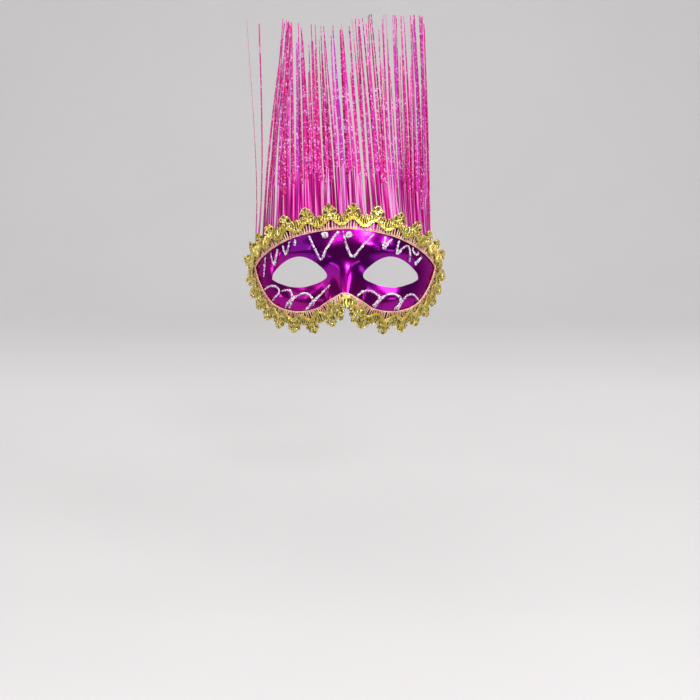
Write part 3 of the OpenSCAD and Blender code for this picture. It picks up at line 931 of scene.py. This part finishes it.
# %% One gold fan of loops
# Each loop's place and size in millimetres, from the fan's foot
LOBES = ((-4.1, 3.4, 2.5), (4.1, 3.4, 2.5), (0.0, 7.6, 2.6))
BETWEEN = ((-2.7, 6.4, 1.7), (2.7, 6.4, 1.7), (0.0, 4.4, 1.5), (-1.7, 1.0, 1.4), (1.7, 1.0, 1.4))
# The rings underneath lie low, so the painted shade of the height makes them dark: they fill the holes of
# the lobes with painted shade
UNDERNEATH = ((-4.1, 3.4, 1.4), (4.1, 3.4, 1.4), (0.0, 7.6, 1.5), (0.0, 3.4, 1.9), (0.0, 0.4, 1.6))
RING_STEPS = 18


def tangle_loop(cx, cy, cz, radius, tip, turned, kinks):
    """A closed crimped ring, tipped out of the flat by tip about an axis at the angle turned."""
    line = []
    for k in range(RING_STEPS):
        t = 2 * math.pi * k / RING_STEPS
        r = radius * (1 + 0.18 * math.cos(kinks * t + turned))
        a, b = r * math.cos(t), r * math.sin(t)
        line.append((
            cx + a * math.cos(turned) - b * math.cos(tip) * math.sin(turned),
            cy + a * math.sin(turned) + b * math.cos(tip) * math.cos(turned),
            cz + b * math.sin(tip),
        ))
    return line


def fan_of_loops():
    """One fan, flat, its foot on the outer edge of the band."""
    rings = []
    for group, height in ((LOBES, 0.3), (BETWEEN, 0.35), (UNDERNEATH, -0.95)):
        for cx, cy, size in group:
            rings.append(tangle_loop(
                cx + rng.uniform(-0.45, 0.45),
                cy + rng.uniform(-0.35, 0.35),
                height + rng.uniform(-0.25, 0.25),
                size * rng.uniform(0.9, 1.05),
                rng.uniform(-0.35, 0.35),
                rng.uniform(0, math.pi),
                rng.choice((3, 4, 5)),
            ))
    return threads("fan_pattern", rings, 0.7, closed=True)


FAN_PATTERNS = 5
patterns = [fan_of_loops() for _ in range(FAN_PATTERNS)]
print(FAN_PATTERNS, "fans modelled")

# %% The fans round the rim
FAN_TILT = math.radians(12)
fans = []
for k in range(FANS):
    pattern = patterns[k * 3 % FAN_PATTERNS]
    fan = placed("fan", pattern.data.copy())
    flat = points_of(fan)
    keep_height(fan, flat[:, 2], -1.5, 1.3)
    share = float(round_rim(k))
    small = np.interp(share % 1, fine_share, fan_size)
    flat *= (small ** 0.6, small, small)
    flat[:, 0] *= -1 if rng.random() < 0.5 else 1
    spot = share % 1 * STATIONS
    i, f = int(spot), spot % 1
    foot, along, outward, off = (
        grid[i] * (1 - f) + grid[(i + 1) % STATIONS] * f for grid in (rim, way, out, off_face)
    )
    foot = foot + outward * BAND_OUT * MM + off * BAND_HIGH * MM
    up = outward * math.cos(FAN_TILT) + off * math.sin(FAN_TILT)
    toward = off * math.cos(FAN_TILT) - outward * math.sin(FAN_TILT)
    move_points(fan, foot + flat[:, :1] * along + flat[:, 1:2] * up + flat[:, 2:] * toward)
    fans.append(fan)
for pattern in patterns:
    bpy.data.objects.remove(pattern)
fans = joined("fans_of_loops", *fans)
turn_faces_out(fans)
settle(fans, GOLD, "gold_thread", "braid_picots")

# %% [markdown]
# The glue lines are squeezed from a tube by hand. Their paths are the CAD's, so its
# beads are copied and not drawn again: rounded by subdivision, filled out by the width
# that rounding takes off, and made lumpy and gritty with two cloud displacements,
# as a bump alone would leave their outline smooth.

# %% Glitter lines
coarse = bpy.data.textures.new("glue_lumps", "CLOUDS")
coarse.noise_scale = 0.0022
fine_lumps = bpy.data.textures.new("glue_grit", "CLOUDS")
fine_lumps.noise_scale = 0.0009
LINES = ("zigzag_left", "zigzag_right", "curls_left", "curls_right", "brow_dots")
for line in LINES:
    node, dots = "glitter_" + line, "dots" in line
    bead = copy_of(node, "glue_" + line)
    faces_as_quads(bead, 50)
    subdivide(bead, 3)
    fill_out, lumpy, grit = (bead.modifiers.new(name, "DISPLACE") for name in ("fill_out", "lumpy", "grit"))
    fill_out.strength = 0.0005 if dots else 0.00006
    fill_out.mid_level = 0.0
    lumpy.texture, lumpy.strength = coarse, 0.0022 if dots else 0.0013
    grit.texture, grit.strength = fine_lumps, 0.0014
    apply_modifiers(bead)
    settle(bead, GLITTER, "glitter_glue", node)

# %% [markdown]
# Tinsel is foil slit into narrow strips. Hair curves could stand for them, but a strip
# is wide and flat and turns its face as it twists, so each one is a mesh of its own.
# The CAD gives its root, tip and width. It is a thin closed fold, raised a little
# along its middle. It leaves the tape along the sloping brow, so it leans back at its
# foot and straightens above, then it bows, twists and narrows to its tip. Foil carries
# a charge, so the tips cling together in uneven groups. The UV map counts the embossed
# squares along each strip.

# %% Strands of the CAD fringe
BAR_CORNERS = 4


def strands_of(node):
    """Root, tip and half width of each strand of a node, from the viewer's left."""
    ends = []
    for part in loose_parts(node):
        part = part[np.argsort(part[:, 2])]
        low, high = part[:BAR_CORNERS], part[-BAR_CORNERS:]
        spans = sorted((low[1:] - low[0]).tolist(), key=lambda v: np.linalg.norm(v))
        half = np.array(spans[1]) / 2
        ends.append((low.mean(axis=0), high.mean(axis=0), half if half[0] > 0 else -half))
    return sorted(ends, key=lambda e: e[0][0])


rng = random.Random(11)  # its own seed, so that a change to the braid leaves the fringe alone
tips = sorted(tip[0] for _, tip, _ in strands_of("fringe_front_strands"))
groups = [tips[0]]
while groups[-1] < tips[-1]:
    groups.append(groups[-1] + rng.uniform(0.004, 0.013))
groups = np.array(groups)
print("tips cling in", len(groups), "groups")

# %% One strip of tinsel
STEPS = 26
THICK = 0.00012
FOOT_LEAN, FOOT_RUN = 0.0062, 0.030  # how far the foot leans back, and over what length
# Shares of a strip's length, or of half its width
KICK_RUN = 0.04
TIP_TAPER = 0.6
FOOT_FLARE, FLARE_RUN = 0.6, 0.35
CROWN = 0.2


def foil_strip(root, tip, half, sway, pull, swell, twist, kick):
    """Rings of six points up a strip, and its length.

    sway bows it sideways, pull moves its tip, swell bows it forwards, twist turns its
    face at the foot and towards the tip, and kick moves it sideways just above its root.
    """
    length = np.linalg.norm(tip - root)
    up = (tip - root) / length
    width = np.linalg.norm(half)
    side = half / width
    face = np.cross(side, up)
    rings = []
    for k in range(STEPS + 1):
        t = k / STEPS
        arch = math.sin(math.pi * t ** 0.7)
        back = FOOT_LEAN * (1 - math.exp(-t * length / FOOT_RUN)) * (1 - t)
        at = root + (tip - root) * t + face * (swell * arch * t - back)
        at[0] += sway * arch + pull * t ** 2 + kick * (1 - math.exp(-t / KICK_RUN)) * (1 - t) ** 3
        turn = twist[0] * min(1, 4 * t) + twist[1] * t * t
        across = side * math.cos(turn) + face * math.sin(turn)
        front = np.cross(across, up)
        w = width * (1 - TIP_TAPER * t * t) * (1 + FOOT_FLARE * math.exp(-(t / FLARE_RUN) ** 2))
        crown = front * w * CROWN
        rear = front * -THICK * 2
        face_side = [at - across * w, at + crown, at + across * w]
        rings.append(face_side + [p + rear for p in face_side[::-1]])
    return rings, length


# %% How each strand stands, and what sets those at the left temple apart
PULL_SHARE, PULL_MOST, PULL_STRAY = 0.5, 0.0022, 0.0012
SPREAD_LEFT, SPREAD_RIGHT = -0.007, 0.0035
STRAY_WIDTH, STRAY_KICK = 1.245, -0.0058
# Strands at the left temple are thinner, and darker as painted shade
LEFT_THIN = LEFT_PAINTED_SHADE = 0.35


def eased(x, start, run):
    """0 up to start, rising to 1 over run."""
    return float(np.clip((x - start) / run, 0, 1))


def posed_strip(root, tip, half, bow, stray):
    """The rings and length of one strand, and how far it belongs to the left temple."""
    near = groups[np.argmin(abs(groups - tip[0]))] - tip[0]
    pull = float(np.clip(near * PULL_SHARE, -PULL_MOST, PULL_MOST)) + rng.uniform(-PULL_STRAY, PULL_STRAY)
    left = eased(-root[0], 0.045, 0.035)
    spread = SPREAD_LEFT * left + SPREAD_RIGHT * eased(root[0], 0.05, 0.03)
    wide, kick = 1 - LEFT_THIN * left, 0.0
    if stray:
        pull, spread, left, wide, kick = 0.0, 0.0, 0.0, STRAY_WIDTH, STRAY_KICK
    half = half * rng.uniform(0.8, 1.1) * wide
    sway = spread + rng.uniform(-0.5, 0.5) * bow
    swell = rng.uniform(-1, 1) * bow
    twist = (rng.uniform(-0.3, 0.3), rng.uniform(-1.3, 1.3))
    rings, length = foil_strip(root, tip, half, sway, pull, swell, twist, kick)
    return rings, length, left


# %% A row of the fringe
EMBOSS = 0.0011  # the side of one embossed square


def tinsel_row(name, node, bow, shade):
    verts, faces, uvs, tints_and_shades = [], [], [], []
    for root, tip, half in strands_of(node):
        rings, length, left = posed_strip(root, tip, half, bow, "stray" in name)
        # Painted shade: the back rows and the strands at the left temple get a lower, darker tone
        tint_and_shade = min(1, max(0, rng.random() + shade - LEFT_PAINTED_SHADE * left))
        shift = rng.uniform(0, 50)
        first = len(verts)
        for k, ring in enumerate(rings):
            verts += ring
            w = np.linalg.norm(ring[2] - ring[0])
            for u in (0, w / 2, w, w, w / 2, 0):
                uvs.append((u / EMBOSS + shift, k / STEPS * length / EMBOSS))
            tints_and_shades += [tint_and_shade] * 6
        for k in range(STEPS):
            for q in range(6):
                a, b = first + 6 * k + q, first + 6 * k + (q + 1) % 6
                faces.append((a, b, b + 6, a + 6))
        faces.append(tuple(first + q for q in (5, 4, 3, 2, 1, 0)))
        faces.append(tuple(first + 6 * STEPS + q for q in range(6)))
    mesh = bpy.data.meshes.new(name)
    mesh.from_pydata([tuple(v) for v in verts], [], faces)
    layer = mesh.uv_layers.new(name="strand")
    for loop in mesh.loops:
        layer.data[loop.index].uv = uvs[loop.vertex_index]
    mesh.attributes.new("tint_and_shade", "FLOAT", "POINT").data.foreach_set("value", tints_and_shades)
    piece = placed(name, mesh)
    turn_faces_out(piece)
    settle(piece, TINSEL, "foil_tinsel", node)


# The last number is each row's painted shade: the rows further back are painted darker
tinsel_row("tinsel_front", "fringe_front_strands", 0.0016, 0.1)
tinsel_row("tinsel_middle", "fringe_middle_strands", 0.0020, 0.0)
tinsel_row("tinsel_back", "fringe_back_strands", 0.0024, -0.1)
tinsel_row("tinsel_strays", "fringe_stray_strands", 0.0, 0.0)

# %% [markdown]
# The tape inside the brow carries the stitched foot of the fringe. It is a plain flat
# band that only shows from behind, so its CAD shape is right as it is and it gets a
# woven finish.

# %% Tape
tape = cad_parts["fringe_tape"]
tape.data.materials.clear()
tape.data.materials.append(TAPE)
print("tape:", tape.name, "in", TAPE.name)

# %% [markdown]
# A pale studio: a floor where a table would be, and a sheet of paper that curves up
# behind it. The foil mirrors whatever stands in front of the mask, so a white room
# would turn it white. The floor therefore ends between the mask and the camera, its
# front fades out, and the room behind the camera is dim.

# %% Paper for the floor and backdrop
ROOM_GREY = (0.10, 0.097, 0.097)


def pale_paper():
    mat, tree, shader = new_material("pale_paper")
    where = object_place(tree)
    paper = ramp(tree, noise(tree, where, 3, 3), [
        (0.2, (0.55, 0.537, 0.537)),
        (0.8, (0.585, 0.572, 0.572)),
    ])
    back = added(tree, "ShaderNodeSeparateXYZ", {"Vector": where})["Y"]
    # The front of the floor is painted darker, a painted shade that fades into the dark of the room
    near = ramp(tree, sums(tree, "ADD", back, 1.0), [(0.62, grey(0.0)), (0.80, grey(1.0))])
    # The paper glows a little to what sees it, and lights nothing
    seen = added(tree, "ShaderNodeLightPath", {})
    mirrored = sums(tree, "MAXIMUM", seen["Is Glossy Ray"], seen["Is Transmission Ray"])
    ray = sums(tree, "MAXIMUM", seen["Is Camera Ray"], mirrored)
    wall = ramp(tree, back, [(0.0, ROOM_GREY), (0.9, (0.26, 0.255, 0.255))])
    glow = mixed(tree, sums(tree, "MULTIPLY", ray, near), grey(0.0), wall)
    feed(tree, shader, {"Base Color": mixed(tree, near, ROOM_GREY, paper), "Roughness": 0.9})
    feed(tree, shader, {"Emission Color": glow, "Emission Strength": 1.0})
    return mat


PAPER = pale_paper()
print("paper finish:", PAPER.name)

# %% The sheet: a floor, pulled back and up along a curve
FLOOR_Z = -0.313
FLOOR_FRONT, FLOOR_BACK = -0.55, 1.6
BEND, BEND_STEPS = 0.8, 12
SHEET_WIDE, SHEET_TOP = 2.2, 3.5
bpy.ops.object.select_all(action="DESELECT")
bpy.ops.mesh.primitive_plane_add(size=1)
sweep = bpy.context.object
sweep.name = sweep.data.name = "backdrop"
bpy.ops.object.mode_set(mode="EDIT")
bpy.ops.transform.resize(value=(SHEET_WIDE, FLOOR_BACK - FLOOR_FRONT, 1))
bpy.ops.transform.translate(value=(0, (FLOOR_BACK + FLOOR_FRONT) / 2, FLOOR_Z))
bpy.ops.mesh.select_mode(type="EDGE")
bpy.ops.mesh.select_all(action="DESELECT")
# Only the far edge of the floor is pulled
for edge in bmesh.from_edit_mesh(sweep.data).edges:
    edge.select_set(all(v.co.y > 0 for v in edge.verts))
bmesh.update_edit_mesh(sweep.data)
profile = [(FLOOR_BACK, FLOOR_Z)]
for a in np.linspace(0, math.pi / 2, BEND_STEPS + 1)[1:]:
    profile.append((FLOOR_BACK + BEND * math.sin(a), FLOOR_Z + BEND * (1 - math.cos(a))))
profile.append((FLOOR_BACK + BEND, SHEET_TOP))
for (y0, z0), (y1, z1) in zip(profile, profile[1:]):
    bpy.ops.mesh.extrude_region_move(TRANSFORM_OT_translate={"value": (0, y1 - y0, z1 - z0)})
bpy.ops.object.mode_set(mode="OBJECT")
bpy.ops.object.shade_smooth()
sweep.data.materials.append(PAPER)
print("backdrop:", len(sweep.data.polygons), "faces")


# %% [markdown]
# In a coloured mirror a lamp is a bright shape in one place, so each lamp is set by the
# direction that the mask sees it in. A small strong one in front and above draws the
# bright patch on the brow, with a softer one to its right. Low ones light the cheek
# and the foot of the nose. A big dim panel at the left stands for the lit side of the
# room, with a strip beside it for the left cheek. Tall ones at both sides draw long
# lines on the tinsel, and a wide one overhead fills in the rest.

# %% Lamps, each at a direction and a distance from the mask
def soft_lamp(name, azimuth, elevation, far, size, glow):
    """A panel seen from the mask at azimuth degrees right of the front, elevation degrees up."""
    a, e = math.radians(azimuth), math.radians(elevation)
    place = Vector((math.sin(a) * math.cos(e), -math.cos(a) * math.cos(e), math.sin(e))) * far
    data = bpy.data.lights.new(name, "AREA")
    data.shape = "RECTANGLE"
    data.size, data.size_y = size
    data.energy = glow * math.pi * size[0] * size[1]
    lamp = placed(name, data)
    lamp.location = place
    lamp.rotation_euler = (-place).to_track_quat("-Z", "Y").to_euler()


soft_lamp("key", 11, 28, 1.6, (0.25, 0.11), 80)
soft_lamp("right", 48, 33, 1.6, (0.50, 0.34), 12)
soft_lamp("left_strip", -90, -10, 1.5, (0.10, 0.22), 7)
soft_lamp("left_wall", -50, 6, 2.0, (1.3, 1.7), 0.8)
soft_lamp("right_low", 46, -12, 1.5, (0.45, 0.34), 2.6)
soft_lamp("front_low", -8, -24, 1.6, (0.05, 0.32), 4)
soft_lamp("left_tall", -28, 6, 1.5, (0.08, 1.0), 5)
soft_lamp("right_tall", 22, 3, 1.5, (0.08, 0.9), 4)
soft_lamp("overhead", 0, 72, 1.8, (2.8, 1.7), 2.9)
print("lamps:", len(bpy.data.lights))

# %% The room: dim in front of the mask, pale behind it
world = bpy.data.worlds.new("room")
scene.world = world
world.use_nodes = True
room = world.node_tree
looking = added(room, "ShaderNodeTexCoord", {})["Generated"]
back = added(room, "ShaderNodeSeparateXYZ", {"Vector": looking})["Y"]
backwards = sums(room, "ADD", sums(room, "MULTIPLY", back, 0.5), 0.5)
walls = ramp(room, backwards, [
    (0.0, (0.15, 0.145, 0.15)),
    (0.5, (0.18, 0.17, 0.18)),
    (0.75, (0.55, 0.53, 0.54)),
    (0.92, (0.9, 0.88, 0.87)),
])
feed(room, room.nodes["Background"], {"Color": walls})
print("world:", world.name)
